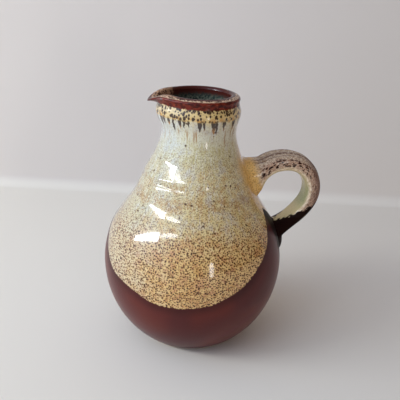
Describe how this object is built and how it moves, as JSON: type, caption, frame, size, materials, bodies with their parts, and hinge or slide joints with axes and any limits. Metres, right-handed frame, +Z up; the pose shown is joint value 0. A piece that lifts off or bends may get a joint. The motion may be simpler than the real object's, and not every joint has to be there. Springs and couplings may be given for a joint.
{
  "type": "stoneware jug",
  "caption": "Round-bellied stoneware jug with a pinched spout, a strap handle and a slanted two-colour dipped glaze.",
  "frame": {"origin": "centre of the foot ring's underside, on the jug's own axis", "axes": "+Z up along the jug's axis, +X from the axis towards the handle, and the spout points along -X"},
  "size_m": [0.1714, 0.1432, 0.2016],
  "materials": {
    "stoneware_clay": "matte",
    "liner_glaze": "gloss",
    "brown_glaze": "gloss",
    "cream_glaze": "gloss",
    "rim_glaze": "gloss",
    "handle_cream_glaze": "gloss",
    "handle_brown_glaze": "gloss"
  },
  "bodies": {
    "root": {"thrown_body": "stoneware_clay", "handle": "stoneware_clay", "upper_joint": "stoneware_clay", "lower_joint": "stoneware_clay", "liner_glaze": "liner_glaze", "brown_glaze": "brown_glaze", "cream_glaze": "cream_glaze", "rim_glaze": "rim_glaze", "handle_cream_glaze": "handle_cream_glaze", "handle_brown_glaze": "handle_brown_glaze"}
  },
  "joints": []
}
